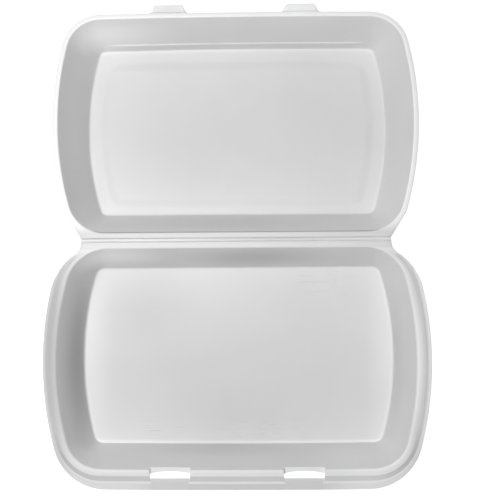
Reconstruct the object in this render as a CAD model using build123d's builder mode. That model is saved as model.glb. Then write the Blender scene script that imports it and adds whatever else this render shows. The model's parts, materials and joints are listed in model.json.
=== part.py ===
from build123d import *
from math import atan2, cos, radians, sin, sqrt, tan
import os

# Foam clamshell container, pressed from one sheet of foam and lying open on a table.
# The base tray lies towards -Y and the lid towards +Y, with the living hinge between them.
# The origin is on the table under the base tray, level with its widest place. +Z is up.
# "Reach" is a distance from the hinge line towards the front edge of either half.

# Sizes that both halves share
sheet = 2.4  # thickness of the foam
half_height = 35.0  # table to rim plane; the closed box is twice this high
tray_width = 240.0  # over the flange of the base, at its widest
tray_depth = 153.4  # hinge line to the front edge of the flange
middle_reach = 74.2  # hinge line to the widest place
side_radius = 206.0  # curve of the long sides, over the flange
front_bow = 0.8  # how far the front edges bulge in the middle
neck_width = 191.0  # length of the hinge strip
overrun = 2.0  # how far cutting shapes pass a surface

# Hinge strip
hinge_gap = 0.1  # between the two halves on the hinge line, half on each side
crease_reach = 1.05
crease_width = 0.9
crease_depth = 0.6
relief_reach = 1.7  # the strip is pressed thinner from below as far as this
relief_depth = 0.7

# Rim of the base tray
rim_drop = 3.0  # top of the bead down to the flange
flange_front = 5.3  # width of the flange
flange_side = 2.5
slope_front = 4.4  # outer slope of the bead
slope_side = 3.2
bead_width_side = 3.9  # over the sharp edges of its flat top
bead_width_front = 3.6
bead_round = 2.2
rim_round = 1.4
flange_back = 5.0  # reach of the flange's back edge, inside the back wall
flange_back_corner = 33.8
flange_front_corner = 33.5
slope_back = 1.0
slope_back_corner = 36.0
bead_back = 1.5
bead_back_corner = 31.5
web_start = 3.4  # where the neck begins to flare out towards the flange
web_reach = 9.6
web_flare = 5.0

# Cavity of the base tray
base_land = 5.1  # flat hinge strip between the hinge line and the cavity
base_back_corner = 26.0
base_floor_corner = 6.0
base_run_side = 9.7  # how far each wall leans in from rim to floor
base_run_front = 9.7
base_run_back = 11.3

# Rim and cavity of the lid
lid_setback_front = 1.9  # edge of the lid inside the outer edge of the bead's top
lid_setback_side = 0.8
lid_front_corner = 24.6
lid_rim_width = 3.1
lid_rim_round = 0.6
lid_land = 4.7
lid_back_corner = 23.0
lid_panel_corner = 5.0
lid_run_side = 12.8
lid_run_front = 11.0
lid_run_back = 13.3
web_end_reach = 16.5  # where the edge of the lid leaves the hinge strip's flare
web_blend = 40.0

# Pressed forms in the lid
field_rise = 1.0  # the middle of the panel stands up from its border
field_slope = 2.2
field_side = 9.2  # width of the border
field_back = 6.6
field_front = 10.8
field_corner = 10.0
step_height = 9.3  # table to the step in the front wall
step_ledge = 0.9
step_length = 164.0

# Latch tabs and slots
latch_pitch = 82.0
tab_root_width = 20.4
tab_tip_width = 17.4
tab_thickness = 1.9
tab_rise = 4.0  # tip of the tab above the rim plane of the open lid
tab_angle = 52.0
tab_inset = 0.6  # bend of the tab inside the edge of the lid
tab_tip_round = 0.7
tab_corner = 1.6
latch_clearance = 0.5
latch_end_clearance = 2.2
notch_taper = 1.5
slot_corner = 0.8

# Rounding of the pressed corners, each made of a few straight steps
inner_round = 1.4
foot_round = inner_round + sheet
foot_steps = 3
rim_steps = 2

# Worked out from the sizes above
hinge_y = middle_reach
flange_level = half_height - rim_drop
half_neck = neck_width / 2
to_base = -1
to_lid = 1


def plan_size(half_width, back, front, back_corner, front_corner):
    return {
        "half_width": half_width,
        "back": back,
        "front": front,
        "back_corner": back_corner,
        "front_corner": front_corner,
    }


def grown(size, outward):
    """The same plan with every edge moved outward."""
    return plan_size(
        size["half_width"] + outward,
        size["back"] - outward,
        size["front"] + outward,
        size["back_corner"] + outward,
        size["front_corner"] + outward,
    )


def blended(low, high, share):
    """The plan at a share of the way from one plan to another."""
    return {key: low[key] + (high[key] - low[key]) * share for key in low}


def wall_size(floor, rim, level, outward=0):
    """The plan of a leaning wall at a level above the table, moved outward."""
    share = (level - sheet) / (half_height - sheet)
    return grown(blended(floor, rim, share), outward)


def side_x(half_width, reach):
    """Half the width of a bulging plan at a reach from the hinge line."""
    radius = side_radius - tray_width / 2 + half_width
    return half_width - radius + sqrt(radius**2 - (reach - middle_reach) ** 2)


def plan_outline(size, direction, level):
    """A closed plan with bulging sides, a bowed front edge and rounded corners."""
    half_width = size["half_width"]
    corner_reach = size["front"] - front_bow
    back_x = side_x(half_width, size["back"])
    front_x = side_x(half_width, corner_reach)
    back_y = hinge_y + direction * size["back"]
    middle_y = hinge_y + direction * middle_reach
    corner_y = hinge_y + direction * corner_reach
    front_y = hinge_y + direction * size["front"]
    with BuildSketch(Plane.XY.offset(level)) as outline:
        with BuildLine():
            Line((-back_x, back_y), (back_x, back_y))
            ThreePointArc((back_x, back_y), (half_width, middle_y), (front_x, corner_y))
            ThreePointArc((front_x, corner_y), (0, front_y), (-front_x, corner_y))
            ThreePointArc((-front_x, corner_y), (-half_width, middle_y), (-back_x, back_y))
        make_face()
        by_reach = outline.vertices().sort_by(Axis.Y, reverse=direction < 0)
        fillet(by_reach[:2], size["back_corner"])
        by_reach = outline.vertices().sort_by(Axis.Y, reverse=direction < 0)
        fillet(by_reach[-2:], size["front_corner"])
    return outline.sketch


# Plans of the base tray
flange_plan = plan_size(
    tray_width / 2, flange_back, tray_depth, flange_back_corner, flange_front_corner
)


def rim_inset(side, front, back, back_corner):
    """A plan inside the flange, whose front corners are tighter by the mean of the insets."""
    return plan_size(
        flange_plan["half_width"] - side,
        back,
        flange_plan["front"] - front,
        back_corner,
        flange_plan["front_corner"] - (side + front) / 2,
    )


slope_plan = rim_inset(flange_side, flange_front, slope_back, slope_back_corner)
bead_side = flange_side + slope_side
bead_front = flange_front + slope_front
bead_plan = rim_inset(bead_side, bead_front, bead_back, bead_back_corner)
base_rim_plan = rim_inset(
    bead_side + bead_width_side, bead_front + bead_width_front, base_land, base_back_corner
)
base_floor_plan = plan_size(
    base_rim_plan["half_width"] - base_run_side,
    base_rim_plan["back"] + base_run_back,
    base_rim_plan["front"] - base_run_front,
    base_floor_corner,
    base_floor_corner,
)

# Plans of the lid
lid_edge_plan = plan_size(
    bead_plan["half_width"] - lid_setback_side,
    0,
    bead_plan["front"] - lid_setback_front,
    lid_front_corner,
    lid_front_corner,
)
lid_rim_plan = plan_size(
    lid_edge_plan["half_width"] - lid_rim_width,
    lid_land,
    lid_edge_plan["front"] - lid_rim_width,
    lid_back_corner,
    lid_front_corner - lid_rim_width,
)
lid_panel_plan = plan_size(
    lid_rim_plan["half_width"] - lid_run_side,
    lid_rim_plan["back"] + lid_run_back,
    lid_rim_plan["front"] - lid_run_front,
    lid_panel_corner,
    lid_panel_corner,
)

# Latch tabs: a bent slab whose outer lower corner sets the size of the slots
tab_run = tab_rise / tan(radians(tab_angle))
tab_out = tab_thickness * sin(radians(tab_angle))
tab_down = tab_thickness * cos(radians(tab_angle))
tab_root_reach = lid_edge_plan["front"] - tab_inset
tab_tip_reach = tab_root_reach + tab_run
tab_reach = tab_tip_reach + tab_out
tab_foot_reach = tab_reach - (tab_rise - tab_down + sheet) / tan(radians(tab_angle))
slot_length = tab_root_width + 2 * latch_end_clearance
slot_outer = tab_reach + latch_clearance
slot_inner = wall_size(base_floor_plan, base_rim_plan, flange_level, sheet)["front"]
notch_inner = slot_inner - 2 * sheet
latch_places = (-latch_pitch / 2, latch_pitch / 2)


def rounding(floor, rim, radius, steps):
    """How far each step of a rounding stands off the leaning wall, and off the flat it runs into."""
    lean = atan2(rim["front"] - floor["front"], half_height - sheet)
    turn = radians(90) - lean
    offsets = []
    for step in range(steps + 1):
        angle = turn * step / steps
        off_flat = radius * (1 - cos(angle))
        off_wall = radius * (tan(turn / 2) - sin(angle)) + off_flat * tan(lean)
        offsets.append((off_wall, off_flat))
    return offsets


def cavity_of(floor, rim, direction, rim_radius):
    """The space inside a tray, from its floor to above its rim."""
    levels = []
    for off_wall, off_flat in rounding(floor, rim, inner_round, foot_steps):
        levels.append((sheet + off_flat, wall_size(floor, rim, sheet + off_flat, -off_wall)))
    rim_offsets = rounding(floor, rim, rim_radius, rim_steps)
    for off_wall, off_flat in reversed(rim_offsets):
        levels.append((half_height - off_flat, wall_size(floor, rim, half_height - off_flat, off_wall)))
    levels.append((half_height + overrun, levels[-1][1]))
    with BuildPart() as cavity:
        loft([plan_outline(size, direction, level) for level, size in levels], ruled=True)
    return cavity.part


def wall_block_of(floor, rim, direction):
    """The outside of a tray's walls, filled in, from the table up to the rim plane."""
    levels = []
    for off_wall, off_flat in rounding(floor, rim, foot_round, foot_steps):
        levels.append((off_flat, wall_size(floor, rim, off_flat, sheet - off_wall)))
    levels.append((half_height, wall_size(floor, rim, half_height, sheet)))
    with BuildPart() as block:
        loft([plan_outline(size, direction, level) for level, size in levels], ruled=True)
    return block.part


def hinge_creases(direction):
    """The pressed line along one half of the hinge strip, and the thinning under it."""
    crease_y = hinge_y + direction * crease_reach
    relief_y = hinge_y + direction * relief_reach
    under = half_height - sheet
    with BuildPart() as creases:
        with BuildSketch(Plane.YZ.offset(-half_neck - overrun)):
            with BuildLine():
                Polyline(
                    (crease_y - crease_width / 2, half_height),
                    (crease_y + crease_width / 2, half_height),
                    (crease_y, half_height - crease_depth),
                    close=True,
                )
            make_face()
            with BuildLine():
                Polyline(
                    (hinge_y, under),
                    (hinge_y, under + relief_depth),
                    (crease_y, under + relief_depth),
                    (relief_y, under),
                    close=True,
                )
            make_face()
        extrude(amount=neck_width + 2 * overrun)
    return creases.part


os.makedirs("parts", exist_ok=True)

# Base tray: flange, walls, bead and its half of the hinge strip
base_cavity = cavity_of(base_floor_plan, base_rim_plan, to_base, rim_round)
base_wall = wall_block_of(base_floor_plan, base_rim_plan, to_base)

slope_angle = atan2(rim_drop, slope_front)
bead_bend = bead_round * tan(slope_angle / 2)
bead_bend_drop = bead_bend * sin(slope_angle)
bead_bend_plan = blended(slope_plan, bead_plan, 1 - bead_bend_drop / rim_drop)
bead_foot = plan_outline(slope_plan, to_base, flange_level)
bead_edge = plan_outline(bead_bend_plan, to_base, half_height - bead_bend_drop)
bead_top = plan_outline(grown(bead_plan, -bead_bend), to_base, half_height)
with BuildPart() as bead:
    loft([bead_foot, bead_edge, bead_top], ruled=True)

# The bead is hollow below: its slope and top are one sheet thick
hollow_inset = sheet * tan(slope_angle / 2)
hollow_low = rim_inset(
    flange_side + hollow_inset, flange_front + hollow_inset, slope_back + sheet, slope_back_corner - sheet
)
hollow_top = rim_inset(
    bead_side + hollow_inset, bead_front + hollow_inset, bead_back + sheet, bead_back_corner - sheet
)
hollow_foot = plan_outline(hollow_low, to_base, flange_level - sheet)
hollow_roof = plan_outline(hollow_top, to_base, half_height - sheet)
with BuildPart() as bead_hollow:
    loft([hollow_foot, hollow_roof])
    add(base_wall, mode=Mode.SUBTRACT)

# A latch slot: the bead is cut away down to the flange, which opens its hollow
with BuildPart() as slot:
    with BuildSketch(Plane.XY.offset(flange_level)):
        with BuildLine():
            Polyline(
                (-slot_length / 2, hinge_y - notch_inner),
                (slot_length / 2, hinge_y - notch_inner),
                (slot_length / 2, hinge_y - slot_outer),
                (slot_length / 2 - notch_taper, hinge_y - slope_plan["front"]),
                (notch_taper - slot_length / 2, hinge_y - slope_plan["front"]),
                (-slot_length / 2, hinge_y - slot_outer),
                close=True,
            )
        make_face()
    extrude(amount=rim_drop + overrun)
    with BuildSketch(Plane.XY.offset(flange_level - sheet - overrun)):
        with Locations((0, hinge_y - (slot_inner + slot_outer) / 2)):
            RectangleRounded(slot_length, slot_outer - slot_inner, slot_corner)
    extrude(amount=sheet + 2 * overrun)

strip_inner_reach = flange_back_corner / 2
with BuildPart() as base_tray:
    extrude(plan_outline(flange_plan, to_base, flange_level - sheet), amount=sheet)
    add(base_wall)
    add(bead.part)
    add(bead_hollow.part, mode=Mode.SUBTRACT)
    with BuildSketch(Plane.XY.offset(half_height - sheet)):
        with Locations((0, hinge_y - hinge_gap / 2)):
            Rectangle(neck_width, web_reach, align=(Align.CENTER, Align.MAX))
    extrude(amount=sheet)
    with BuildSketch(Plane.XY.offset(flange_level)):
        with BuildLine():
            Polyline(
                (-half_neck, hinge_y - web_start),
                (half_neck, hinge_y - web_start),
                (half_neck + web_flare, hinge_y - web_reach),
                (half_neck, hinge_y - strip_inner_reach),
                (-half_neck, hinge_y - strip_inner_reach),
                (-half_neck - web_flare, hinge_y - web_reach),
                close=True,
            )
        make_face()
    extrude(amount=rim_drop)
    add(base_cavity, mode=Mode.SUBTRACT)
    add(hinge_creases(to_base), mode=Mode.SUBTRACT)

    with Locations(*[(x, 0, 0) for x in latch_places]):
        add(slot.part, mode=Mode.SUBTRACT)
base_tray.part.label = "base_tray"

# Lid: walls, flat rim with its flare to the hinge strip, pressed panel and latch tabs
lid_cavity = cavity_of(lid_panel_plan, lid_rim_plan, to_lid, lid_rim_round)
lid_wall = wall_block_of(lid_panel_plan, lid_rim_plan, to_lid)
field_plan = plan_size(
    lid_panel_plan["half_width"] - field_side,
    lid_panel_plan["back"] + field_back,
    lid_panel_plan["front"] - field_front,
    field_corner,
    field_corner,
)

field_foot = plan_outline(field_plan, to_lid, 0)
field_top = plan_outline(grown(field_plan, -field_slope), to_lid, field_rise)
with BuildPart() as field:
    loft([field_foot, field_top])

edge_corner_reach = lid_edge_plan["front"] - front_bow
edge_corner_x = side_x(lid_edge_plan["half_width"], edge_corner_reach)
web_end_x = side_x(lid_edge_plan["half_width"], web_end_reach)
edge_side = side_x(lid_edge_plan["half_width"], middle_reach)
with BuildSketch(Plane.XY.offset(half_height - sheet)) as lid_edge:
    with BuildLine():
        Line((-half_neck, hinge_y + hinge_gap / 2), (half_neck, hinge_y + hinge_gap / 2))
        Line((half_neck, hinge_y + hinge_gap / 2), (web_end_x, hinge_y + web_end_reach))
        ThreePointArc(
            (web_end_x, hinge_y + web_end_reach),
            (edge_side, hinge_y + middle_reach),
            (edge_corner_x, hinge_y + edge_corner_reach),
        )
        ThreePointArc(
            (edge_corner_x, hinge_y + edge_corner_reach),
            (0, hinge_y + lid_edge_plan["front"]),
            (-edge_corner_x, hinge_y + edge_corner_reach),
        )
        ThreePointArc(
            (-edge_corner_x, hinge_y + edge_corner_reach),
            (-edge_side, hinge_y + middle_reach),
            (-web_end_x, hinge_y + web_end_reach),
        )
        Line((-web_end_x, hinge_y + web_end_reach), (-half_neck, hinge_y + hinge_gap / 2))
    make_face()
    by_reach = lid_edge.vertices().sort_by(Axis.Y)
    fillet(by_reach[-2:], lid_front_corner)
    fillet(by_reach[2:4], web_blend)

with BuildPart() as tab:
    with BuildSketch(Plane.YZ.offset(-tab_root_width / 2)) as tab_profile:
        with BuildLine():
            Polyline(
                (hinge_y + tab_root_reach - tab_out, half_height - sheet),
                (hinge_y + tab_root_reach - tab_out, half_height),
                (hinge_y + tab_root_reach, half_height),
                (hinge_y + tab_tip_reach, half_height + tab_rise),
                (hinge_y + tab_reach, half_height + tab_rise - tab_down),
                (hinge_y + tab_foot_reach, half_height - sheet),
                close=True,
            )
        make_face()
        tip = tab_profile.vertices().sort_by(Axis.Y)[-2:]
        fillet(tip, tab_tip_round)
    extrude(amount=tab_root_width)
    with BuildSketch(Plane.XY.offset(half_height - sheet)) as tab_plan:
        with BuildLine():
            Polyline(
                (-tab_root_width / 2, hinge_y + tab_root_reach - tab_out),
                (tab_root_width / 2, hinge_y + tab_root_reach - tab_out),
                (tab_root_width / 2, hinge_y + tab_root_reach),
                (tab_tip_width / 2, hinge_y + tab_reach),
                (-tab_tip_width / 2, hinge_y + tab_reach),
                (-tab_root_width / 2, hinge_y + tab_root_reach),
                close=True,
            )
        make_face()
        fillet(tab_plan.vertices().sort_by(Axis.Y)[-2:], tab_corner)
    extrude(amount=sheet + tab_rise, mode=Mode.INTERSECT)

wall_lean = lid_run_front / (half_height - sheet)
step_reach = lid_panel_plan["front"] + (step_height - sheet) * wall_lean
with BuildPart() as lid:
    extrude(lid_edge.sketch, amount=sheet)
    add(lid_wall)
    add(lid_cavity, mode=Mode.SUBTRACT)
    with Locations(*[(x, 0, 0) for x in latch_places]):
        add(tab.part)
    add(hinge_creases(to_lid), mode=Mode.SUBTRACT)
    with Locations((0, 0, sheet)):
        add(field.part)
    add(field.part, mode=Mode.SUBTRACT)
    with BuildSketch(Plane.YZ.offset(-step_length / 2)):
        with BuildLine():
            Polyline(
                (hinge_y + step_reach + step_ledge, step_height),
                (hinge_y + step_reach - step_ledge, step_height),
                (hinge_y + lid_panel_plan["front"], sheet),
                (hinge_y + lid_panel_plan["front"] + step_ledge, sheet),
                close=True,
            )
        make_face()
    extrude(amount=step_length)
lid.part.label = "lid"

for piece in (base_tray, lid):
    print(piece.part.label, round(piece.part.volume), piece.part.bounding_box(), len(piece.part.solids()))
    export_step(piece.part, f"parts/{piece.part.label}.step")
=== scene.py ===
import json
from math import atan2, cos, pi, radians, sin, sqrt, tan

import bmesh
import bpy
from mathutils import Matrix, Vector


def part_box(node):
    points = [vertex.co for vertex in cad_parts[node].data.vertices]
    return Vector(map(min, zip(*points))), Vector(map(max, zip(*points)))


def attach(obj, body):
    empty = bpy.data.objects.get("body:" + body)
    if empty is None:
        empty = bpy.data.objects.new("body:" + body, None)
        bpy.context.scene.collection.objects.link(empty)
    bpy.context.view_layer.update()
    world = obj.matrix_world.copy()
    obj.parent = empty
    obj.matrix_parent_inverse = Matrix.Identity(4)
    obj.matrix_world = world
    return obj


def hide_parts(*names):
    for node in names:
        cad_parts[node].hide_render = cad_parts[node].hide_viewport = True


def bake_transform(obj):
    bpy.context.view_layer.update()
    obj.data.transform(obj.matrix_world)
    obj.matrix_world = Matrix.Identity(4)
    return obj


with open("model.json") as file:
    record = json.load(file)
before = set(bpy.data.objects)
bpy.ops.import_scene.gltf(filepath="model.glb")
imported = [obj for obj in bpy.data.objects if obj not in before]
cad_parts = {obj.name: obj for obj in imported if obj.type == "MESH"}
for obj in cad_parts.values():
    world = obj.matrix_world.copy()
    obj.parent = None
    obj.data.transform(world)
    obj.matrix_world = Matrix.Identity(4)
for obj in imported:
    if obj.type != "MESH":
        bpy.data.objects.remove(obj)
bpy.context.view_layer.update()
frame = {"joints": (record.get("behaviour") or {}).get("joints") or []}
print("frame loaded")

mm = 0.001  # sizes below are in millimetres, and a finished mesh is scaled to metres
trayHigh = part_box("base_tray")[1]
hingeAxis = Vector(frame["joints"][0]["pos_m"]) / mm

# What the two halves share. Reach is the distance from the hinge line
shared = {
    "sheet": 2.4,
    "height": trayHigh.z / mm,
    "hinge": hingeAxis.y,
    "middle": hingeAxis.y,  # reach of the widest place
    "trayHalf": trayHigh.x / mm,
    "sideRadius": 206.0,
    "frontBow": 0.8,
    "neckHalf": 95.5,
    "crease": 1.05,  # reach of the creases beside the hinge line
    "corner": 0.6,  # from a sharp corner to the points beside it
    "creaseDepth": 0.6,
    "creaseFade": 2,  # columns over which a crease ends beside the neck
}
toBase = -1
toLid = 1
latchPlaces = (-41.0, 41.0)

# The bends of the press, from the floor to a wall that leans 15 degrees. Angles are in degrees
press = {
    "full": 75,
    "half": 37,
    "turns": (0, 25, 50),  # where the rings of a bend lie
    "last": 73,  # the lowest ring of the wall
    "insideCorner": 3.2,  # the tightest corners that a ring may have
    "outsideCorner": 4,
    "floorCorner": 4,
}

# How many columns of faces run round a ring, for half of it
columns = {"back": 12, "corner": 12, "side": 14, "rest": 4, "capEnd": 20}
frontStops = (60, 52.6, 51.2, 46.1, 41, 35.9, 30.8, 29.4, 20, 10, 0)
stopsNeed = 68  # a ring narrower than this has its stops drawn together
outlineSteps = {"neck": 12, "shoulder": 24, "flare": 6}  # steps in the arcs that lead round the neck


def makePlan(half, back, front, backBend, frontBend):
    return {"half": half, "back": back, "front": front, "backBend": backBend, "frontBend": frontBend}


def grown(plan, outward, tightest=1.5):
    corners = [max(plan[c] + outward, tightest) for c in ("backBend", "frontBend")]
    return makePlan(plan["half"] + outward, plan["back"] - outward, plan["front"] + outward, *corners)


def between(low, high, share):
    return {key: low[key] + (high[key] - low[key]) * share for key in low}


def smooth(value, low, high):
    t = min(max((value - low) / (high - low), 0), 1)
    return t * t * (3 - 2 * t)


def sideArc(plan):
    radius = shared["sideRadius"] - shared["trayHalf"] + plan["half"]
    return Vector((plan["half"] - radius, shared["middle"])), radius


def sidePoint(plan, reach):
    centre, radius = sideArc(plan)
    return Vector((centre.x + sqrt(radius**2 - (reach - centre.y) ** 2), reach))


def frontArc(plan):
    bow = shared["frontBow"]
    corner = sidePoint(plan, plan["front"] - bow)
    radius = (corner.x**2 + bow**2) / (2 * bow)
    return Vector((0, plan["front"] - radius)), radius


def crossing(centreA, radiusA, centreB, radiusB):
    # where two circles cross, on the +X side
    apart = centreB - centreA
    along = (radiusA**2 - radiusB**2 + apart.length_squared) / (2 * apart.length)
    across = sqrt(radiusA**2 - along**2)
    foot = centreA + apart.normalized() * along
    square = Vector((-apart.y, apart.x)).normalized() * across
    return max(foot + square, foot - square, key=lambda p: p.x)


def backCorner(plan):
    # the rounded back corner: its centre, and where it leaves the back line and meets the side
    centre, radius = sideArc(plan)
    bend = plan["backBend"]
    rise = plan["back"] + bend - centre.y
    corner = Vector((centre.x + sqrt((radius - bend) ** 2 - rise**2), plan["back"] + bend))
    return corner, Vector((corner.x, plan["back"])), centre + (corner - centre).normalized() * radius


def frontCorner(plan):
    centre, radius = sideArc(plan)
    bowCentre, bowRadius = frontArc(plan)
    bend = plan["frontBend"]
    corner = crossing(centre, radius - bend, bowCentre, bowRadius - bend)
    leaves = centre + (corner - centre).normalized() * radius
    meets = bowCentre + (corner - bowCentre).normalized() * bowRadius
    return corner, leaves, meets


def linePoints(start, end, count):
    return [start.lerp(end, i / count) for i in range(1, count + 1)]


def arcPoints(centre, start, end, count):
    radius = (start - centre).length
    first = atan2(start.y - centre.y, start.x - centre.x)
    turn = atan2(end.y - centre.y, end.x - centre.x) - first
    turn = (turn + pi) % (2 * pi) - pi
    angles = [first + turn * i / count for i in range(1, count + 1)]
    return [centre + Vector((cos(a), sin(a))) * radius for a in angles]


def evenPoints(path, count):
    # points evenly spaced along a fine path, its start left out
    lengths = [(b - a).length for a, b in zip(path, path[1:])]
    total = sum(lengths)
    made = []
    for i in range(1, count + 1):
        rest = total * i / count
        for a, b, length in zip(path, path[1:], lengths):
            if rest <= length or b is path[-1]:
                made.append(a.lerp(b, min(rest / length, 1)))
                break
            rest -= length
    return made


def halfRing(plan, backPoints=None, cornerPoints=None):
    # half of a ring from the middle of its back to the middle of its front, as (x, reach)
    cornerCentre, leaves, meets = backCorner(plan)
    frontCentre, frontLeaves, frontMeets = frontCorner(plan)
    bowCentre, bowRadius = frontArc(plan)
    middle = Vector((0, plan["back"]))
    ring = backPoints or [middle, *linePoints(middle, leaves, columns["back"])]
    ring = ring + (cornerPoints or arcPoints(cornerCentre, leaves, meets, columns["corner"]))
    ring += arcPoints(sideArc(plan)[0], ring[-1], frontLeaves, columns["side"])
    ring += arcPoints(frontCentre, frontLeaves, frontMeets, columns["corner"])
    squeeze = min(1, frontMeets.x / stopsNeed)
    first = frontStops[0] * squeeze
    rest = [frontMeets.x + (first - frontMeets.x) * i / columns["rest"] for i in range(1, columns["rest"])]
    for x in rest + [stop * squeeze for stop in frontStops]:
        ring.append(Vector((x, bowCentre.y + sqrt(bowRadius**2 - x**2))))
    return ring


def placed(half, direction, levels):
    # a whole ring in the part's frame; levels is one height, or one for each point of the half
    if not isinstance(levels, list):
        levels = [levels] * len(half)
    hinge = shared["hinge"]
    right = [Vector((p.x, hinge + direction * p.y, z)) for p, z in zip(half, levels)]
    left = [Vector((-p.x, p.y, p.z)) for p in right[-2:0:-1]]
    return right + left


def firstRing(bm, places):
    ring = bmesh.ops.create_circle(bm, cap_ends=False, segments=len(places), radius=1)["verts"]
    for vert, place in zip(ring, places):
        vert.co = place
    return ring


def ringEdges(bm, ring):
    return [bm.edges.get(pair) for pair in zip(ring, ring[1:] + ring[:1])]


def vertsOf(made):
    return [g for g in made["geom"] if isinstance(g, bmesh.types.BMVert)]


def nextRing(bm, ring, places):
    fresh = set(vertsOf(bmesh.ops.extrude_edge_only(bm, edges=ringEdges(bm, ring))))
    following = []
    for vert, place in zip(ring, places):
        twin = next(e.other_vert(vert) for e in vert.link_edges if e.other_vert(vert) in fresh)
        twin.co = place
        following.append(twin)
    return following


def gridCap(bm, ring):
    # a grid of faces over a ring, between its back and its front
    end = columns["capEnd"]
    turned = ring[-end:] + ring[:-end]
    edges = []
    for first in (0, len(ring) // 2):
        chain = turned[first : first + 2 * end + 1]
        edges += [bm.edges.get(pair) for pair in zip(chain, chain[1:])]
    bmesh.ops.grid_fill(bm, edges=edges, use_interp_simple=True)


def ringShell(rings, cap=gridCap):
    # a closed skin through a stack of rings, its two ends capped
    bm = bmesh.new()
    ring = firstRing(bm, rings[0])
    start = list(ring)
    for places in rings[1:]:
        ring = nextRing(bm, ring, places)
    for end in (start, ring):
        cap(bm, end)
    bmesh.ops.recalc_face_normals(bm, faces=bm.faces)
    return bm


def plainCap(bm, ring):
    bmesh.ops.edgeloop_fill(bm, edges=ringEdges(bm, ring))


def finishedObject(bm, name):
    mesh = bpy.data.meshes.new(name)
    bm.to_mesh(mesh)
    bm.free()
    piece = bpy.data.objects.new(name, mesh)
    bpy.context.scene.collection.objects.link(piece)
    return piece


def applyModifiers(piece):
    bpy.context.view_layer.update()
    seen = piece.evaluated_get(bpy.context.evaluated_depsgraph_get())
    mesh = bpy.data.meshes.new_from_object(seen)
    piece.modifiers.clear()
    piece.data = mesh


def rounded(piece):
    modifier = piece.modifiers.new("rounded", "SUBSURF")
    modifier.levels = modifier.render_levels = 1
    applyModifiers(piece)


def toMetres(piece, sharpAngle=40):
    piece.data.transform(Matrix.Scale(mm, 4))
    piece.data.shade_smooth()
    piece.data.set_sharp_from_angle(angle=radians(sharpAngle))


# The shape of a half is a stack of rings: from the middle of the floor up the wall, over the rim,
# down the outside and back to the middle below. Across the rim, a ring lies a stated distance from
# the rim's inner edge, at the sides and at the front, and a drop below the rim plane. Round the
# neck the tray's rim becomes the flat hinge strip, which has its own drops, and a crease at its end
def rimPoints(rows, inner, outer, sideWidth, frontWidth):
    first = columns["back"] + columns["corner"] + columns["side"]
    rings = []
    for side, front, *_ in rows:
        ring = []
        for i, (a, b) in enumerate(zip(inner, outer)):
            share = side / sideWidth
            towardsFront = min(max((i - first) / columns["corner"], 0), 1)
            share += (front / frontWidth - share) * towardsFront
            ring.append(a.lerp(b, share))
        rings.append(ring)
    return rings


# Base tray
tray = {
    "rim": makePlan(110.4, 5.1, 140.1, 26.0, 22.0),
    "floor": makePlan(100.7, 16.4, 130.4, 6.0, 6.0),
    "flange": makePlan(119.98, 4.0, 153.38, 33.8, 33.5),
    "neckRound": 7.0,
    "sideWidth": 9.6,
    "frontWidth": 13.3,
    "neckFall": (5.0, 22.0),  # reach where the strip starts to fall to the flange, and where it has
    "floorInsets": (10, 6.5, 4),
    "floorRound": 1.4,
    "rimRound": 1.4,
    "wallLevels": (7, 12, 18, 24, 29, 32.0),
    "outsideLevels": (29.8, 24, 18, 12, 8),
    "footRound": 3.8,
}
# distance at the sides, at the front, drop, drop of the strip, and more drop at the crease
trayRim = (
    (0.95, 0.95, 0.06, 0.06, 0),
    (1.95, 1.8, 0.0, 0.0, 0),
    (3.0, 2.75, 0.1, 0.0, 0),
    (3.9, 3.65, 0.4, 0.0, 0),
    (4.7, 4.7, 0.98, 0.0, 0),
    (5.8, 6.2, 1.95, 0.0, 0),
    (6.7, 7.6, 2.8, 0.0, 0),
    (7.0, 8.05, 2.95, 0.0, 0),
    (7.5, 8.8, 2.98, 0.0, 0),
    (7.9, 9.3, 3.22, 0.0, 0),
    (8.4, 10.6, 3.25, 0.0, 0.05),
    (9.1, 12.4, 3.45, 0.06, 0.29),
    (9.5, 13.15, 3.9, 0.25, 0.3),
    (9.6, 13.3, 4.4, 0.7, -0.05),
    (9.6, 13.3, 4.9, 1.7, -0.3),
    (9.4, 13.0, 5.3, 2.2, -0.5),
    (8.6, 11.8, 5.4, 2.4, -0.6),
    (7.6, 8.8, 5.4, 2.4, 0),
    (6.7, 7.7, 5.36, 2.4, 0),
    (6.0, 6.8, 4.9, 2.4, 0),
    (4.7, 4.9, 3.1, 2.4, 0),
    (4.1, 4.3, 2.7, 2.4, 0),
    (3.5, 3.6, 3.0, 2.4, 0),
    (2.7, 3.0, 4.0, 2.5, 0),
)


def strippedBack():
    # the crease, with its last point close to the corner of the neck, so that the corner stays sharp
    start = Vector((0, shared["crease"]))
    end = Vector((shared["neckHalf"], shared["crease"]))
    near = end - Vector((shared["corner"], 0))
    return [start, *linePoints(start, near, columns["back"] - 1), end]


def neckPoints(path):
    near = path[0] + (path[1] - path[0]).normalized() * shared["corner"]
    return [near, *evenPoints([near, *path[1:]], columns["corner"] - 1)]


def trayLevels(outer):
    # the heights of the rings across the tray's rim, column by column
    levels = []
    for _, _, full, flat, crease in trayRim:
        level = []
        for i, p in enumerate(outer):
            fallen = smooth(p.y, *tray["neckFall"])
            pressed = 1 - smooth(i, columns["back"], columns["back"] + shared["creaseFade"])
            drop = flat + (full - flat) * fallen + crease * pressed * (1 - fallen)
            level.append(shared["height"] - drop)
        levels.append(level)
    return levels


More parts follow.
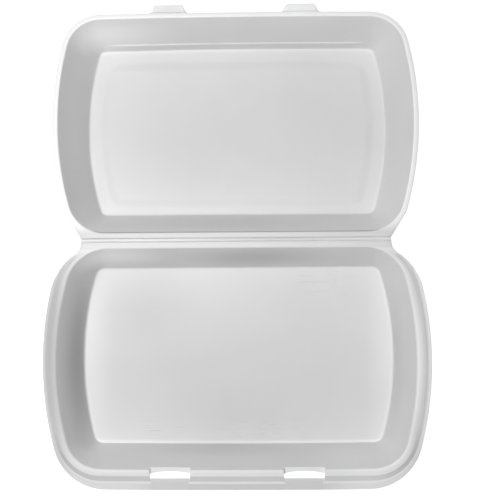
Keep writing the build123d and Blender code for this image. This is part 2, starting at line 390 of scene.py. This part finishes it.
def trayNeck():
    # the outline from the end of the hinge strip round the neck to the side of the flange
    plan = tray["flange"]
    centre, _, meets = backCorner(plan)
    neck = shared["neckHalf"]
    small = tray["neckRound"]
    across = neck + small - centre.x
    rise = sqrt((plan["backBend"] + small) ** 2 - across**2)
    neckCentre = Vector((neck + small, centre.y - rise))
    turning = centre + (neckCentre - centre).normalized() * plan["backBend"]
    straightEnd = Vector((neck, neckCentre.y))
    path = [Vector((neck, shared["crease"])), straightEnd]
    path += arcPoints(neckCentre, straightEnd, turning, outlineSteps["neck"])
    path += arcPoints(centre, turning, meets, outlineSteps["shoulder"])
    return neckPoints(path)


def wallPlan(floor, rim, level, outward=0):
    share = (level - shared["sheet"]) / (shared["height"] - shared["sheet"])
    return grown(between(floor, rim, share), outward)


def stepped(ring, level, step):
    # below its top, the step brings the middle of the front wall inward
    if level > step["top"]:
        return ring
    depth = step["ledge"] * (level - shared["sheet"]) / (step["top"] - shared["sheet"])
    moved = []
    for p in ring:
        inward = depth * (1 - smooth(p.x, *step["fade"])) if p.y > step["from"] else 0
        moved.append(p - Vector((0, inward)))
    return moved


def bendInset(radius, turn):
    # how far inside the meeting line of the floor and the wall a ring on the bend lies
    return radius * (tan(radians(press["half"])) - sin(radians(turn)))


def bendRise(radius, turn):
    return radius * (1 - cos(radians(turn)))


def insideRings(half, direction, floorRings):
    # from the floor to just under the rim
    floor, rim, radius = half["floor"], half["rim"], half["floorRound"]
    sheet, top = shared["sheet"], shared["height"]
    rings = [placed(halfRing(plan), direction, sheet + rise) for plan, rise in floorRings]
    for turn in press["turns"]:
        plan = grown(floor, -bendInset(radius, turn), press["insideCorner"])
        rings.append(placed(halfRing(plan), direction, sheet + bendRise(radius, turn)))
    for level in (sheet + bendRise(radius, press["last"]), *half["wallLevels"]):
        ring = halfRing(wallPlan(floor, rim, level))
        if "step" in half:
            ring = stepped(ring, level, half["step"])
        rings.append(placed(ring, direction, level))
    radius = half["rimRound"]
    start = top - radius * tan(radians(press["half"])) * sin(radians(press["full"]))
    rings.append(placed(halfRing(wallPlan(floor, rim, start)), direction, start))
    plan = grown(rim, bendInset(radius, press["half"]))
    rings.append(placed(halfRing(plan), direction, top - bendRise(radius, press["half"])))
    return rings


def outsideRings(half, direction, floorRings):
    # from just under the rim to the underside
    floor, rim, radius = half["floor"], half["rim"], half["footRound"]
    sheet = shared["sheet"]
    rings = []
    for level in (*half["outsideLevels"], bendRise(radius, press["last"])):
        rings.append(placed(halfRing(wallPlan(floor, rim, level, sheet)), direction, level))
    foot = wallPlan(floor, rim, 0, sheet)
    for turn in reversed(press["turns"]):
        plan = grown(foot, -bendInset(radius, turn), press["outsideCorner"])
        rings.append(placed(halfRing(plan), direction, bendRise(radius, turn)))
    rings += [placed(halfRing(plan), direction, rise) for plan, rise in reversed(floorRings)]
    return rings


slot = {
    "half": 12.4,  # of the slot's length
    "taper": 1.5,  # how much shorter the slot is at its foot, at each end
    "notchInner": 136.9,  # this and the next edges are given by their reach
    "holeInner": 142.9,
    "arch": 1.5,  # the inner edge of the hole, bowed inward in its middle
    "archSteps": 8,
    "outer": 146.1,
    "foot": 148.1,
    "level": 32.0,  # height at which the notch ends and the hole begins
    "past": 4.0,  # the cutters reach twice this above and below the level, and overlap by half of it
}


def prism(outline, low, high):
    bm = bmesh.new()
    face = bm.faces.new([bm.verts.new((x, y, low)) for x, y in outline])
    raised = vertsOf(bmesh.ops.extrude_face_region(bm, geom=[face]))
    bmesh.ops.translate(bm, verts=raised, vec=(0, 0, high - low))
    bmesh.ops.recalc_face_normals(bm, faces=bm.faces)
    return bm


def slotOutlines():
    # the notch through the bead, and the hole through the wall below it, as (x, reach)
    half, narrow = slot["half"], slot["half"] - slot["taper"]
    notch = [(half, slot["notchInner"]), (half, slot["outer"]), (narrow, slot["foot"])]
    notch += [(-x, reach) for x, reach in reversed(notch)]
    steps = slot["archSteps"]
    shares = [2 * i / steps - 1 for i in range(steps + 1)]
    hole = [(half * share, slot["holeInner"] - slot["arch"] * (1 - share**2)) for share in shares]
    hole += [(half, slot["outer"]), (-half, slot["outer"])]
    return notch, hole


def cutAway(piece, bm):
    cutter = finishedObject(bm, "cutter")
    modifier = piece.modifiers.new("slot", "BOOLEAN")
    modifier.operation = "DIFFERENCE"
    modifier.solver = "EXACT"
    modifier.object = cutter
    applyModifiers(piece)
    bpy.data.objects.remove(cutter)


def cutSlots(piece):
    notch, hole = slotOutlines()
    level, past = slot["level"], slot["past"]
    for centreX in latchPlaces:
        for outline, low, high in (
            (notch, level, level + 2 * past),
            (hole, level - 2 * past, level + past / 2),
        ):
            corners = [(centreX + x, shared["hinge"] - reach) for x, reach in outline]
            cutAway(piece, prism(corners, low, high))


def buildTray():
    inner = halfRing(tray["rim"])
    outer = halfRing(tray["flange"], strippedBack(), trayNeck())
    tightest = press["floorCorner"]
    floorRings = [(grown(tray["floor"], -inset, tightest), 0) for inset in tray["floorInsets"]]
    rings = insideRings(tray, toBase, floorRings)
    points = rimPoints(trayRim, inner, outer, tray["sideWidth"], tray["frontWidth"])
    rings += [placed(p, toBase, z) for p, z in zip(points, trayLevels(outer))]
    rings += outsideRings(tray, toBase, floorRings)
    piece = finishedObject(ringShell(rings), "foamTray")
    rounded(piece)
    cutSlots(piece)
    return piece


# Lid
lid = {
    "rim": makePlan(110.4, 4.7, 138.7, 23.0, 21.5),
    "floor": makePlan(97.6, 18.0, 127.7, 5.0, 5.0),
    "edge": makePlan(113.5, 1.0, 141.8, 24.6, 24.6),
    "sideWidth": 3.1,
    "frontWidth": 3.1,
    "flareReach": 16.5,  # reach where the flare of the neck meets the side
    "neckShort": 0.8,  # how far the outline of the neck ends before the corner of the rim does
    "field": makePlan(88.4, 24.6, 118.4, 10.0, 10.0),
    # distance inside the field's edge, and share of its rise
    "fieldRings": ((8, 1), (5, 1), (3.4, 0.93), (1.5, 0.5), (-0.4, 0.07), (-1.8, 0), (-3.4, 0)),
    "floorRound": 1.4,
    "rimRound": 0.8,
    "wallLevels": (6.5, 8.9, 9.3, 9.42, 10.0, 15, 21, 27, 31.5),
    "step": {"top": 9.3, "ledge": 0.75, "fade": (77, 84), "from": 110},
    "outsideLevels": (32.0, 28, 22, 16, 11, 8),
    "footRound": 3.8,
    "fieldRise": 1.0,
}
# distance at the sides, at the front, and drop
lidRim = (
    (0.62, 0.62, 0.04),
    (1.6, 1.6, 0.0),
    (2.4, 2.4, 0.05),
    (2.85, 2.85, 0.2),
    (3.08, 3.08, 0.55),
    (3.1, 3.1, 1.2),
    (3.08, 3.08, 1.85),
    (2.85, 2.85, 2.25),
    (2.5, 2.5, 2.4),
)


def lidNeck():
    edge = lid["edge"]
    flare = sidePoint(edge, lid["flareReach"])
    end = sidePoint(edge, backCorner(lid["rim"])[2].y - lid["neckShort"])
    path = [Vector((shared["neckHalf"], shared["crease"])), flare]
    path += arcPoints(sideArc(edge)[0], flare, end, outlineSteps["flare"])
    return neckPoints(path)


tab = {
    "rootHalf": 10.2,
    "tipHalf": 8.6,
    "angle": 52.0,
    "rise": 4.0,
    "inset": 0.6,  # bend of the tab inside the edge of the lid
    "thickness": 1.9,
    "footHalf": 11.6,
    "band": (4, 6),  # rows of the rim between which the tab grows out of the edge
    "depth": 1.0,  # how far in the edge's faces may lie
    "close": 0.01,  # tolerance for a point that lies on an edge
    # share of the length, of the thickness, and of the widening at the foot
    "stations": ((0.1, 1, 0.6), (0.28, 1, 0.25), (0.7, 1, 0.12), (0.93, 0.9, 0.1), (1.0, 0.5, 0.1)),
}


def tabPlace(centreX, across, depth, share, thick, flare):
    # across is 1 at the side of the tab and more at its widened foot, and depth 1 on its lower face
    if abs(across) > 1 + tab["close"]:
        across += (flare - 1) * (across - (1 if across > 0 else -1))
    lean = radians(tab["angle"])
    length = tab["rise"] / sin(lean)
    root = Vector((lid["edge"]["front"] - tab["inset"], shared["height"]))
    along = Vector((cos(lean), sin(lean))) * length * share
    down = Vector((sin(lean), -cos(lean))) * tab["thickness"] * (0.5 + (depth - 0.5) * thick)
    point = root + along + down
    half = tab["rootHalf"] + (tab["tipHalf"] - tab["rootHalf"]) * share
    return Vector((centreX + across * half, shared["hinge"] + point.x, point.y))


def raiseTab(bm, centreX):
    # the faces of the lid's front edge are drawn out into a bent tab
    top, low = (shared["height"] - lidRim[row][2] for row in tab["band"])
    near = shared["hinge"] + lid["edge"]["front"] - tab["depth"]
    close = tab["close"]

    def onBand(vert):
        x, y, z = vert.co
        return y > near and low - close < z < top + close and abs(x - centreX) < tab["footHalf"] + close

    def key(vert):
        return tuple(round(c, 4) for c in vert.co)

    faces = [f for f in bm.faces if all(onBand(v) for v in f.verts)]
    shape = {}
    for vert in {v for f in faces for v in f.verts}:
        shape[key(vert)] = ((vert.co.x - centreX) / tab["rootHalf"], (top - vert.co.z) / (top - low))
    for share, thick, flare in tab["stations"]:
        made = bmesh.ops.extrude_face_region(bm, geom=faces)
        bmesh.ops.delete(bm, geom=[f for f in faces if f.is_valid], context="FACES")
        faces = [g for g in made["geom"] if isinstance(g, bmesh.types.BMFace)]
        moved = {}
        for vert in vertsOf(made):
            across, depth = shape[key(vert)]
            vert.co = tabPlace(centreX, across, depth, share, thick, flare)
            moved[key(vert)] = (across, depth)
        shape = moved
    bmesh.ops.recalc_face_normals(bm, faces=bm.faces)


def buildLid():
    inner = halfRing(lid["rim"])
    outer = halfRing(lid["edge"], strippedBack(), lidNeck())
    rise = lid["fieldRise"]
    floorRings = [(grown(lid["field"], -inset), rise * share) for inset, share in lid["fieldRings"]]
    rings = insideRings(lid, toLid, floorRings)
    points = rimPoints(lidRim, inner, outer, lid["sideWidth"], lid["frontWidth"])
    rings += [placed(p, toLid, shared["height"] - row[2]) for p, row in zip(points, lidRim)]
    rings += outsideRings(lid, toLid, floorRings)
    bm = ringShell(rings)
    for centreX in latchPlaces:
        raiseTab(bm, centreX)
    piece = finishedObject(bm, "foamLid")
    rounded(piece)
    return piece


trayPiece = buildTray()
print("tray made", len(trayPiece.data.polygons))
lidPiece = buildLid()
print("lid made", len(lidPiece.data.polygons))

# Hinge strip: the pressed ridge between the two creases
strip = {"steps": 14, "stations": 26, "half": 95.3, "flatHalf": 0.45, "below": 1.7}


def buildStrip():
    crease, top = shared["crease"], shared["height"]
    offsets = [crease * (2 * i / strip["steps"] - 1) for i in range(strip["steps"] + 1)]
    profile = []
    for y in offsets:
        dip = shared["creaseDepth"] * smooth(abs(y), strip["flatHalf"], crease)
        profile.append((y, top - dip))
    profile += [(y, top - strip["below"]) for y in reversed(offsets)]
    count = strip["stations"]
    stations = [strip["half"] * (2 * i / count - 1) for i in range(count + 1)]
    rings = [[Vector((x, shared["hinge"] + y, z)) for y, z in profile] for x in stations]
    return finishedObject(ringShell(rings, plainCap), "hingeStrip")


stripPiece = buildStrip()
for piece in (trayPiece, lidPiece, stripPiece):
    toMetres(piece)


# Foam: a closed satin skin over fine cells. Faces that face up are painted lighter than the walls, and the
# flat
# rims at the top lightest: painted light and shade by which way a face turns
def addNode(tree, kind, **settings):
    node = tree.nodes.new(kind)
    for key, value in settings.items():
        setattr(node, key, value)
    return node


def setInputs(node, **values):
    for key, value in values.items():
        node.inputs[key].default_value = value


def feed(tree, socket, value):
    # the value is the output of another node, or a number or a vector
    if isinstance(value, bpy.types.NodeSocket):
        tree.links.new(value, socket)
    else:
        socket.default_value = value


def mathNode(tree, operation, *values):
    node = addNode(tree, "ShaderNodeMath", operation=operation)
    for socket, value in zip(node.inputs, values):
        feed(tree, socket, value)
    return node.outputs["Value"]


def vectorNode(tree, operation, *values, output="Vector"):
    node = addNode(tree, "ShaderNodeVectorMath", operation=operation)
    for socket, value in zip(node.inputs, values):
        feed(tree, socket, value)
    return node.outputs[output]


def partsOf(tree, vector):
    node = addNode(tree, "ShaderNodeSeparateXYZ")
    tree.links.new(vector, node.inputs[0])
    return list(node.outputs)


def rampShare(tree, value, low, high):
    # rises softly from 0 at low to 1 at high
    node = addNode(tree, "ShaderNodeMapRange", interpolation_type="SMOOTHSTEP")
    for name, source in (("Value", value), ("From Min", low), ("From Max", high)):
        feed(tree, node.inputs[name], source)
    return node.outputs["Result"]


def mixColour(tree, share, first, second):
    node = addNode(tree, "ShaderNodeMix", data_type="RGBA")
    for index, source in ((0, share), (6, first), (7, second)):
        tree.links.new(source, node.inputs[index])
    return node.outputs[2]


def brighter(tree, colour, change):
    # the colour times one plus the change
    node = addNode(tree, "ShaderNodeVectorMath", operation="SCALE")
    tree.links.new(colour, node.inputs[0])
    tree.links.new(mathNode(tree, "ADD", change, 1.0), node.inputs["Scale"])
    return node.outputs["Vector"]


def noiseNode(tree, vector, scale, detail, roughness):
    node = addNode(tree, "ShaderNodeTexNoise")
    tree.links.new(vector, node.inputs["Vector"])
    setInputs(node, Scale=scale, Detail=detail, Roughness=roughness)
    return node.outputs[0]


def newGroup(name, inputs, outputs):
    # a node group with its sockets, the outputs of its first node and the inputs of its last one
    group = bpy.data.node_groups.new(name, "ShaderNodeTree")
    for way, sockets in (("INPUT", inputs), ("OUTPUT", outputs)):
        for socket, kind in sockets.items():
            group.interface.new_socket(socket, in_out=way, socket_type="NodeSocket" + kind)
    return group, addNode(group, "NodeGroupInput").outputs, addNode(group, "NodeGroupOutput").inputs


# Shares of the upward part of the normal at which the painted light of the flat faces and of the rims sets
# in, scales of the noises per metre, and the roughness, which follows the grain
skinLook = {
    "flat": (0.35, 0.85),
    "rim": (0.5, 0.95),
    "cloudScale": 38.0,
    "grainScale": 520.0,
    "rough": 0.40,
    "roughSpread": 0.16,
}


def foamSkinGroup():
    tones = {"Flat": "Color", "Wall": "Color", "Rim": "Color"}
    inputs = {**tones, "Rim Low": "Float", "Rim High": "Float", "Cloud": "Float"}
    outputs = {"Color": "Color", "Roughness": "Float", "Height": "Float"}
    group, given, result = newGroup("foamSkin", inputs, outputs)
    place = addNode(group, "ShaderNodeTexCoord")
    height = partsOf(group, place.outputs["Object"])[2]
    upward = partsOf(group, place.outputs["Normal"])[2]
    # painted shade: the walls take the greyer Wall tone, and what faces up takes the lighter Flat tone
    flatness = rampShare(group, mathNode(group, "ABSOLUTE", upward), *skinLook["flat"])
    colour = mixColour(group, flatness, given["Wall"], given["Flat"])
    # painted highlight: the flat tops of the rims, high and facing up, take the lightest Rim tone
    rim = rampShare(group, height, given["Rim Low"], given["Rim High"])
    rim = mathNode(group, "MULTIPLY", rim, rampShare(group, upward, *skinLook["rim"]))
    colour = mixColour(group, rim, colour, given["Rim"])
    cloud = noiseNode(group, place.outputs["Object"], skinLook["cloudScale"], detail=1.0, roughness=0.5)
    shade = mathNode(group, "MULTIPLY", mathNode(group, "SUBTRACT", cloud, 0.5), given["Cloud"])
    group.links.new(brighter(group, colour, shade), result["Color"])
    grain = noiseNode(group, place.outputs["Object"], skinLook["grainScale"], detail=2.0, roughness=0.6)
    group.links.new(grain, result["Height"])
    rough = mathNode(group, "MULTIPLY", grain, skinLook["roughSpread"])
    group.links.new(mathNode(group, "ADD", rough, skinLook["rough"]), result["Roughness"])
    return group


zoneFacing = (0.3, 0.6)  # upward part of the normal at which a zone's tone sets in


def paintedZoneGroup():
    # a painted tone of light or shade on what faces up inside a box, given by two corners, x counted from
    # the middle
    inputs = {"Color": "Color", "Zone": "Color", "Low": "Vector", "High": "Vector", "Steepness": "Vector"}
    group, given, result = newGroup("zone", inputs, {"Color": "Color"})
    place = addNode(group, "ShaderNodeTexCoord")
    across, along, height = partsOf(group, place.outputs["Object"])
    folded = addNode(group, "ShaderNodeCombineXYZ")
    for socket, source in zip(folded.inputs, (mathNode(group, "ABSOLUTE", across), along, height)):
        group.links.new(source, socket)
    point = folded.outputs[0]
    inside = []
    for first, second in ((point, given["Low"]), (given["High"], point)):
        past = vectorNode(group, "SUBTRACT", first, second)
        past = vectorNode(group, "MULTIPLY", past, given["Steepness"])
        for operation, value in (("ADD", 0.5), ("MAXIMUM", 0), ("MINIMUM", 1)):
            past = vectorNode(group, operation, past, (value,) * 3)
        inside.append(past)
    share, *others = partsOf(group, vectorNode(group, "MULTIPLY", *inside))
    upward = partsOf(group, place.outputs["Normal"])[2]
    for factor in (*others, rampShare(group, upward, *zoneFacing)):
        share = mathNode(group, "MULTIPLY", share, factor)
    group.links.new(mixColour(group, share, given["Color"], given["Zone"]), result["Color"])
    return group


def patchShare(tree, place, given, low, high):
    # 1 near a group's Centre, and 0 from high on, as distance is counted in its Stretch
    away = vectorNode(tree, "SUBTRACT", place.outputs["Object"], given["Centre"])
    away = vectorNode(tree, "MULTIPLY", away, given["Stretch"])
    away = vectorNode(tree, "LENGTH", away, output="Value")
    return mathNode(tree, "SUBTRACT", 1.0, rampShare(tree, away, low, high))


spotEdge = (0.0, 1.0)
spotFacing = (0.0, 0.3)  # part of the normal along the spot's way at which the spot sets in


def paintedSpotGroup():
    # a soft painted patch of light or shade, lighter or darker as more or less light falls on or comes
    # through the thin foam there, on what faces one way
    places = {"Centre": "Vector", "Stretch": "Vector", "Facing": "Vector"}
    inputs = {"Color": "Color", **places, "Change": "Float"}
    group, given, result = newGroup("spot", inputs, {"Color": "Color"})
    place = addNode(group, "ShaderNodeTexCoord")
    inside = patchShare(group, place, given, *spotEdge)
    turned = vectorNode(group, "DOT_PRODUCT", place.outputs["Normal"], given["Facing"], output="Value")
    inside = mathNode(group, "MULTIPLY", inside, rampShare(group, turned, *spotFacing))
    change = mathNode(group, "MULTIPLY", inside, given["Change"])
    group.links.new(brighter(group, given["Color"], change), result["Color"])
    return group


scuffEdge = (0.4, 1.0)
scuffMarks = (0.54, 0.70)  # heights of the noise between which a crease rises


def scuffGroup():
    # a patch of fine creases, as where a finger or a fork has rubbed the foam
    inputs = {"Centre": "Vector", "Stretch": "Vector", "Grain": "Vector"}
    group, given, result = newGroup("scuffs", inputs, {"Height": "Float"})
    place = addNode(group, "ShaderNodeTexCoord")
    inside = patchShare(group, place, given, *scuffEdge)
    grain = vectorNode(group, "MULTIPLY", place.outputs["Object"], given["Grain"])
    marks = noiseNode(group, grain, scale=1.0, detail=1.0, roughness=0.6)
    crease = rampShare(group, marks, *scuffMarks)
    group.links.new(mathNode(group, "MULTIPLY", crease, inside), result["Height"])
    return group


foam = {"cloud": 0.04, "cellDepth": 0.00004, "scuffDepth": 0.00018}
far = 1.0
crisp = (2000, 2000, 8000)

# The foam of each piece. Tones are grey values; the flat, wall and rim tones are painted light and shade
# by facing. Places are in metres, and steepness, stretch and grain count per metre. A zone is a painted
# tone of
# light or shade: its tone, low corner, high corner and how steeply its edges rise. A spot is a painted
# patch of
# light or shade: its change of tone, centre, stretch and the way that it faces. Scuffs are the centre,
# stretch and grain of each patch
trayFoam = {
    "flat": 0.76,
    "wall": 0.71,
    "rim": 0.84,
    "rimSpan": (0.0340, 0.0348),  # heights between which the rim's tone sets in
    # painted light and shade, zone by zone: painted shade on the bead's slope and on the flange, painted
    # light on their sides and front corners, a painted highlight at the slope's foot, painted shade beside
    # the slots, painted light along the floor's side edges, a painted highlight along its front edge, and
    # painted shade along the hinge
    "paintedZones": (
        (0.61, (-far, -far, 0.03225), (far, far, 0.03435), crisp),  # slope of the bead
        (0.84, (0.095, -0.050, 0.03225), (far, 0.066, 0.03435), (100, 60, 8000)),  # at the sides
        (0.68, (-far, -far, 0.0280), (far, far, 0.03190), crisp),  # flange
        (0.80, (0.055, -far, 0.0280), (far, -0.040, 0.03190), (40, 60, 8000)),  # at the front corners
        (0.98, (0.095, -0.052, 0.0280), (far, 0.066, 0.03190), (100, 60, 8000)),  # at the sides
        (0.86, (-far, -far, 0.03190), (far, 0.066, 0.03215), crisp),  # foot of the slope
        (0.70, (0.0295, -far, 0.0310), (0.0525, -0.070, 0.0325), crisp),  # beside the slots
        (0.80, (0.090, -0.0575, 0.00243), (far, 0.045, 0.0031), (300, 100, 20000)),  # edge of the floor
        (0.90, (-far, -0.0575, 0.00243), (0.094, -0.0535, 0.0031), (200, 2000, 20000)),  # at the front
        (0.78, (-far, 0.0688, 0.0340), (far, far, far), (2000, 1200, 8000)),  # along the hinge
    ),
    # painted light and shade in patches: painted shade in the middle of the back and front walls, at the
    # foot of the side walls and on the left bead; painted light at the left of the back wall, the right of
    # the front wall and on the right bead; lighter and darker patches of painted light and shade on the
    # floor
    "paintedSpots": (
        (-0.24, (0.012, 0.064, 0.020), (16, 60, 40), (0, -1, 0)),
        (0.28, (-0.076, 0.064, 0.024), (26, 60, 40), (0, -1, 0)),
        (-0.36, (-0.102, -0.002, 0.011), (60, 11, 40), (1, 0, 0)),
        (-0.38, (-0.113, 0.012, 0.0330), (45, 7, 100), (-0.4, 0, 1)),
        (0.14, (0.1155, 0.0, 0.0345), (110, 9, 400), (0, 0, 1)),
        (0.16, (0.086, -0.062, 0.0325), (30, 30, 120), (0.3, -0.3, 1)),
        (-0.12, (0.103, 0.0, 0.005), (60, 10, 50), (-1, 0, 0)),
        (-0.12, (-0.010, -0.060, 0.006), (12, 60, 60), (0, 1, 0)),
        (0.10, (0.070, -0.064, 0.022), (26, 60, 40), (0, 1, 0)),
        (-0.07, (-0.005, -0.040, 0.0024), (16, 30, 400), (0, 0, 1)),
        (-0.10, (-0.062, 0.038, 0.0024), (22, 26, 400), (0, 0, 1)),
        (0.14, (-0.100, 0.0, 0.0024), (45, 10, 400), (0, 0, 1)),
        (0.14, (0.100, 0.0, 0.0024), (45, 10, 400), (0, 0, 1)),
        (-0.05, (-0.040, 0.0, 0.0024), (14, 18, 400), (0, 0, 1)),
        (0.05, (0.075, 0.0, 0.0024), (20, 14, 400), (0, 0, 1)),
    ),
    "scuffs": (
        ((0.058, 0.049, 0.0024), (30, 45, 60), (110, 330, 300)),
        ((0.012, -0.047, 0.0024), (24, 70, 60), (110, 760, 300)),
        ((-0.048, -0.047, 0.0024), (44, 120, 60), (90, 700, 300)),
    ),
}
lidFoam = {
    "flat": 0.77,
    "wall": 0.72,
    "rim": 0.98,
    "rimSpan": (0.0335, 0.0346),
    # painted light and shade, zone by zone: painted shade on the front and back rims, a painted shadow
    # line beside the crease, and a painted highlight along the edge of the panel
    "paintedZones": (
        (0.92, (-far, 0.2148, 0.0336), (far, far, far), crisp),  # front rim
        (0.75, (-far, 0, 0.0330), (far, 0.0815, 0.0352), (2000, 160, 8000)),  # back rim
        (0.36, (-far, 0.0768, 0.0335), (0.088, 0.0802, 0.0348), (100, 2000, 8000)),  # beside the crease
        (0.83, (-far, 0.1985, 0.00243), (far, far, 0.0031), (2000, 2000, 20000)),  # edge of the panel
    ),
    # painted light and shade in patches: painted light at the left of the front wall and on the left wall,
    # painted shade on the back wall, on the panel and by the front rim
    "paintedSpots": (
        (0.26, (-0.084, 0.206, 0.022), (18, 60, 40), (0, -1, 0)),
        (-0.09, (-0.010, 0.086, 0.018), (10, 60, 40), (0, 1, 0)),
        (0.06, (-0.104, 0.145, 0.018), (60, 14, 40), (1, 0, 0)),
        (-0.06, (-0.030, 0.130, 0.0032), (13, 17, 400), (0, 0, 1)),
        (-0.08, (-0.041, 0.2185, 0.0370), (60, 100, 100), (0, -0.6, 0.8)),
    ),
    "scuffs": (),
}
stripFoam = {
    "flat": 0.80,
    "wall": 0.70,
    "rim": 0.82,
    "rimSpan": (0.0344, 0.0349),
    "paintedZones": (),
    # a patch of painted shade in the middle of the strip
    "paintedSpots": ((-0.12, (0.020, 0.0741, 0.0350), (14, 100, 200), (0, 0, 1)),),
    "scuffs": (),
}
skinGroup = foamSkinGroup()
zonesGroup = paintedZoneGroup()
spotsGroup = paintedSpotGroup()
scuffsGroup = scuffGroup()


def grey(value):
    return (value, value, value, 1)


def foamMaterial(name, look):
    material = bpy.data.materials.new(name)
    material.use_nodes = True
    tree = material.node_tree
    shader = tree.nodes["Principled BSDF"]
    skin = addNode(tree, "ShaderNodeGroup", node_tree=skinGroup)
    setInputs(skin, Flat=grey(look["flat"]), Wall=grey(look["wall"]), Rim=grey(look["rim"]))
    rimLow, rimHigh = look["rimSpan"]
    setInputs(skin, Cloud=foam["cloud"], **{"Rim Low": rimLow, "Rim High": rimHigh})
    colour = skin.outputs["Color"]
    # painted tones of light and shade, zone by zone
    for tone, low, high, steepness in look["paintedZones"]:
        zone = addNode(tree, "ShaderNodeGroup", node_tree=zonesGroup)
        tree.links.new(colour, zone.inputs["Color"])
        setInputs(zone, Zone=grey(tone), Low=low, High=high, Steepness=steepness)
        colour = zone.outputs["Color"]
    # painted patches of light and shade
    for change, centre, stretch, facing in look["paintedSpots"]:
        spot = addNode(tree, "ShaderNodeGroup", node_tree=spotsGroup)
        tree.links.new(colour, spot.inputs["Color"])
        setInputs(spot, Change=change, Centre=centre, Stretch=stretch, Facing=facing)
        colour = spot.outputs["Color"]
    tree.links.new(colour, shader.inputs["Base Color"])
    tree.links.new(skin.outputs["Roughness"], shader.inputs["Roughness"])
    bump = addNode(tree, "ShaderNodeBump")
    setInputs(bump, Strength=1.0, Distance=foam["cellDepth"])
    tree.links.new(skin.outputs["Height"], bump.inputs["Height"])
    for centre, stretch, grain in look["scuffs"]:
        patch = addNode(tree, "ShaderNodeGroup", node_tree=scuffsGroup)
        setInputs(patch, Centre=centre, Stretch=stretch, Grain=grain)
        deeper = addNode(tree, "ShaderNodeBump", invert=True)
        setInputs(deeper, Strength=1.0, Distance=foam["scuffDepth"])
        tree.links.new(patch.outputs["Height"], deeper.inputs["Height"])
        tree.links.new(bump.outputs["Normal"], deeper.inputs["Normal"])
        bump = deeper
    tree.links.new(bump.outputs["Normal"], shader.inputs["Normal"])
    return material


for piece, name, look in (
    (trayPiece, "trayFoam", trayFoam),
    (lidPiece, "lidFoam", lidFoam),
    (stripPiece, "stripFoam", stripFoam),
):
    piece.data.materials.clear()
    piece.data.materials.append(foamMaterial(name, look))
print("foam dressed")

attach(trayPiece, "base")
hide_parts("base_tray")
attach(lidPiece, "lid")
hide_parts("lid")
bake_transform(stripPiece)

# A white table that glows a little, so that no shadow greys it, and soft lights
floor = {"size": 30.0, "drop": 0.0002, "tone": 0.35, "roughness": 0.9, "glow": 0.92}
bm = bmesh.new()
bmesh.ops.create_grid(bm, x_segments=1, y_segments=1, size=floor["size"] / 2)
floorPiece = finishedObject(bm, "floor")
floorPiece.data.transform(Matrix.Translation((0, 0, -floor["drop"])))
paper = bpy.data.materials.new("whitePaper")
paper.use_nodes = True
setInputs(
    paper.node_tree.nodes["Principled BSDF"],
    Roughness=floor["roughness"],
    **{"Base Color": grey(floor["tone"]), "Emission Color": grey(1), "Emission Strength": floor["glow"]},
)
floorPiece.data.materials.append(paper)

worldGlow = 0.10
world = bpy.data.worlds.new("studio")
world.use_nodes = True
setInputs(world.node_tree.nodes["Background"], Color=grey(1), Strength=worldGlow)
bpy.context.scene.world = world

lightsAim = Vector((0, 0.07, 0))
lights = {
    "overhead": {"place": (-0.15, 0.10, 0.6), "size": 0.3, "power": 2.72},
    "far": {"place": (0, 1.519, 0.388), "size": 0.7, "power": 3.7},
    "near": {"place": (0, -1.379, 0.388), "size": 0.7, "power": 5.45},
    "left": {"place": (-1.449, 0.07, 0.388), "size": 0.7, "power": 1.2},
    "right": {"place": (1.449, 0.07, 0.388), "size": 0.7, "power": 1.5},
}
for name, values in lights.items():
    lamp = bpy.data.lights.new(name, "AREA")
    lamp.size = values["size"]
    lamp.energy = values["power"]
    holder = bpy.data.objects.new(name, lamp)
    holder.location = values["place"]
    aim = lightsAim - Vector(values["place"])
    holder.rotation_euler = aim.to_track_quat("-Z", "Y").to_euler()
    bpy.context.scene.collection.objects.link(holder)

# The camera looks down on the open box from half a metre up. Its place is in millimetres, and its
# tilt in radians
view = {
    "place": (17.6, -26.79 + shared["hinge"], 490.42 + shared["height"]),
    "tilt": (0.0413, 0.0182, -0.0061),
    "lens": 57.6,
    "sensor": 36,
}
cameraData = bpy.data.cameras.new("camera")
cameraData.lens = view["lens"]
cameraData.sensor_width = view["sensor"]
camera = bpy.data.objects.new("camera", cameraData)
pitch, yaw, roll = view["tilt"]
turn = Matrix.Rotation(roll, 3, "Z") @ Matrix.Rotation(yaw, 3, "Y") @ Matrix.Rotation(pitch, 3, "X")
looksDown = Matrix(((1, 0, 0), (0, -1, 0), (0, 0, -1)))
axes = looksDown @ turn.transposed()
camera.matrix_world = Matrix((axes[0], -axes[1], -axes[2])).transposed().to_4x4()
camera.location = Vector(view["place"]) * mm
bpy.context.scene.collection.objects.link(camera)
bpy.context.scene.camera = camera
bpy.context.scene.view_settings.view_transform = "Standard"
